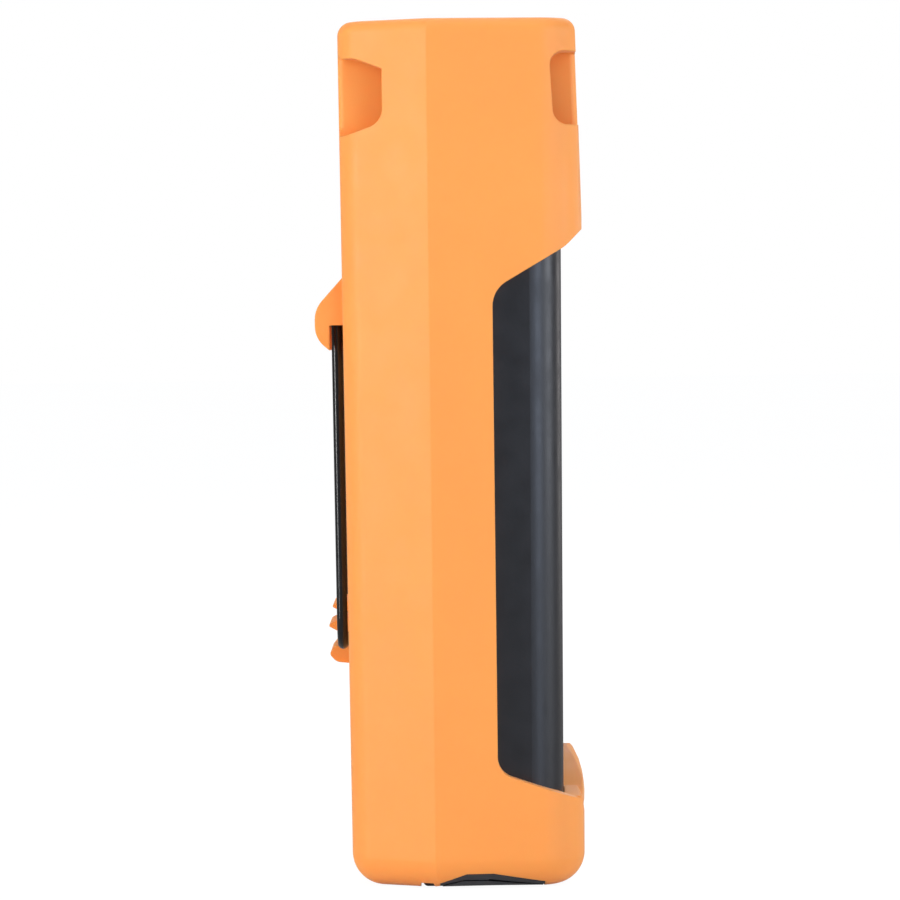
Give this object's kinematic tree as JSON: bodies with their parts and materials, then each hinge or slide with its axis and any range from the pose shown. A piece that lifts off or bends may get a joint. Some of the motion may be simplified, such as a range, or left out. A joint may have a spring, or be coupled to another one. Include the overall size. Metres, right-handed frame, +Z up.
{
  "type": "optical power meter",
  "caption": "Handheld optical power meter in a rubber boot with a fold-out wire stand, keypad, display window and a capped fibre port in its head.",
  "frame": {"origin": "on the base plane that the meter stands on, under the middle of its overall box", "axes": "+Z up towards the fibre port, -Y out of the display, +Y out of the back where the stand is, +X across the width"},
  "size_m": [0.096, 0.0574, 0.185],
  "materials": {
    "boot_rubber": "satin moulded rubber",
    "stand_wire": "glossy coated wire",
    "shell_plastic": "fine spark texture",
    "end_plastic": "fine spark texture",
    "cover_rubber": "matt",
    "steel": "plain",
    "window": "polished",
    "lcd_glass": "polarised glass",
    "white_plastic": "plain",
    "silicone": "matt",
    "board": "solder mask",
    "component": "moulded",
    "plating": "nickel plating",
    "battery_wrap": "printed sleeve, no print",
    "flex_film": "film",
    "key_plastic": "fine matt",
    "power_plastic": "fine matt"
  },
  "bodies": {
    "meter": {"boot": "boot_rubber", "front_shell": "shell_plastic", "rear_shell": "shell_plastic", "end_cap": "end_plastic", "cover_pin": "steel", "display_window": "window", "lcd": "lcd_glass", "backlight": "white_plastic", "keypad_mat": "silicone", "main_board": "board", "board_parts": "component", "board_screws": "steel", "shell_screws": "steel", "buzzer": "component", "dc_jack": "component", "usb_socket": "plating", "battery_door": "shell_plastic", "door_screw": "steel", "battery_contacts": "plating", "battery_springs": "plating", "port_barrel": "plating", "adapter": "plating", "detector": "plating", "detector_board": "board", "sensor_flex": "flex_film", "cap_bracket": "shell_plastic", "cap_pin": "steel", "battery_1": "battery_wrap", "battery_2": "battery_wrap", "battery_3": "battery_wrap", "battery_4": "battery_wrap"},
    "stand": {"bail_stand": "stand_wire"},
    "cap": {"dust_cap": "cover_rubber"},
    "cover": {"port_cover": "cover_rubber"},
    "key_light": {"key_light": "key_plastic"},
    "key_wave": {"key_wave": "key_plastic"},
    "key_unit": {"key_unit": "key_plastic"},
    "key_reference": {"key_reference": "key_plastic"},
    "key_up": {"key_up": "key_plastic"},
    "key_store": {"key_store": "key_plastic"},
    "key_power": {"key_power": "power_plastic"},
    "key_down": {"key_down": "key_plastic"},
    "key_recall": {"key_recall": "key_plastic"}
  },
  "joints": [
    {"name": "stand_hinge", "type": "hinge", "parent": "meter", "child": "stand", "pos_m": [0, 0.02414, 0.1224], "axis": [1, 0, 0], "range_deg": [0, 60]},
    {"name": "cap_hinge", "type": "hinge", "parent": "meter", "child": "cap", "pos_m": [0, 0.01005, 0.1826], "axis": [-1, 0, 0], "range_deg": [0, 110]},
    {"name": "cover_hinge", "type": "hinge", "parent": "meter", "child": "cover", "pos_m": [0, 0.00575, 0.00125], "axis": [1, 0, 0], "range_deg": [0, 90]},
    {"name": "key_light_press", "type": "slide", "parent": "meter", "child": "key_light", "axis": [0, 1, 0], "range_m": [0, 0.0006], "stiffness_N_per_m": 2000, "springref_m": -0.0002},
    {"name": "key_wave_press", "type": "slide", "parent": "meter", "child": "key_wave", "axis": [0, 1, 0], "range_m": [0, 0.0006], "stiffness_N_per_m": 2000, "springref_m": -0.0002},
    {"name": "key_unit_press", "type": "slide", "parent": "meter", "child": "key_unit", "axis": [0, 1, 0], "range_m": [0, 0.0006], "stiffness_N_per_m": 2000, "springref_m": -0.0002},
    {"name": "key_reference_press", "type": "slide", "parent": "meter", "child": "key_reference", "axis": [0, 1, 0], "range_m": [0, 0.0006], "stiffness_N_per_m": 2000, "springref_m": -0.0002},
    {"name": "key_up_press", "type": "slide", "parent": "meter", "child": "key_up", "axis": [0, 1, 0], "range_m": [0, 0.0006], "stiffness_N_per_m": 2000, "springref_m": -0.0002},
    {"name": "key_store_press", "type": "slide", "parent": "meter", "child": "key_store", "axis": [0, 1, 0], "range_m": [0, 0.0006], "stiffness_N_per_m": 2000, "springref_m": -0.0002},
    {"name": "key_power_press", "type": "slide", "parent": "meter", "child": "key_power", "axis": [0, 1, 0], "range_m": [0, 0.0006], "stiffness_N_per_m": 2000, "springref_m": -0.0002},
    {"name": "key_down_press", "type": "slide", "parent": "meter", "child": "key_down", "axis": [0, 1, 0], "range_m": [0, 0.0006], "stiffness_N_per_m": 2000, "springref_m": -0.0002},
    {"name": "key_recall_press", "type": "slide", "parent": "meter", "child": "key_recall", "axis": [0, 1, 0], "range_m": [0, 0.0006], "stiffness_N_per_m": 2000, "springref_m": -0.0002}
  ]
}
